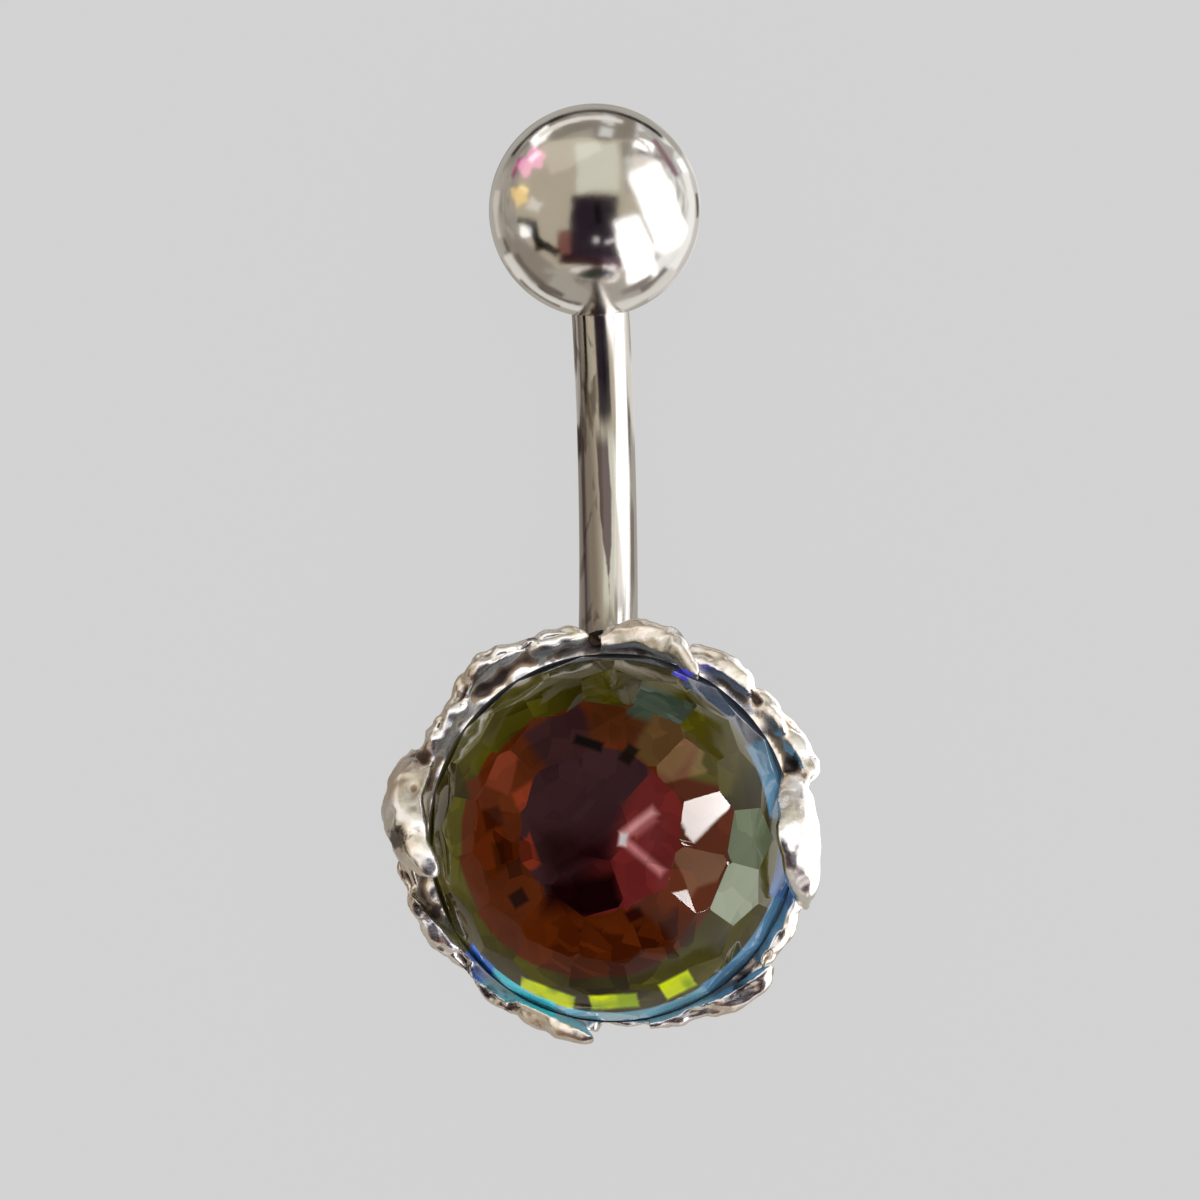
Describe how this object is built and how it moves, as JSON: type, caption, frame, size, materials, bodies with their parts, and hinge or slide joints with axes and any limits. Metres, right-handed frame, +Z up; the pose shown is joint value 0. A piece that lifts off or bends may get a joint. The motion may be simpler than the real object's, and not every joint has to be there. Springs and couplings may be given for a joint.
{
  "type": "navel ring",
  "caption": "Curved navel bar with a screw-on ball at one end and, at the other, a cast leaf setting that holds a round faceted dome stone.",
  "frame": {"origin": "the middle of the underside of the whole box, on the surface that the ring lies on", "axes": "+Z up, the way the stone faces; +Y along the bar from the stone to the ball; +X to the right of the stone, seen from above with the ball at the top"},
  "size_m": [0.012, 0.0264, 0.0083],
  "materials": {
    "cast_silver": "cast leaves with soft highlights and dark recesses, and a polished bar",
    "polished_steel": "mirror polished",
    "crystal": "faceted glass with a colour coating behind it that runs from plum through red-brown and olive to blue"
  },
  "bodies": {
    "ring": {"bar_and_setting": "cast_silver", "stone": "crystal"},
    "ball": {"top_ball": "polished_steel"}
  },
  "joints": [
    {"name": "ball_off", "type": "slide", "parent": "ring", "child": "ball", "axis": [0, 0.9272, 0.3746], "range_m": [0, 0.0032]}
  ]
}
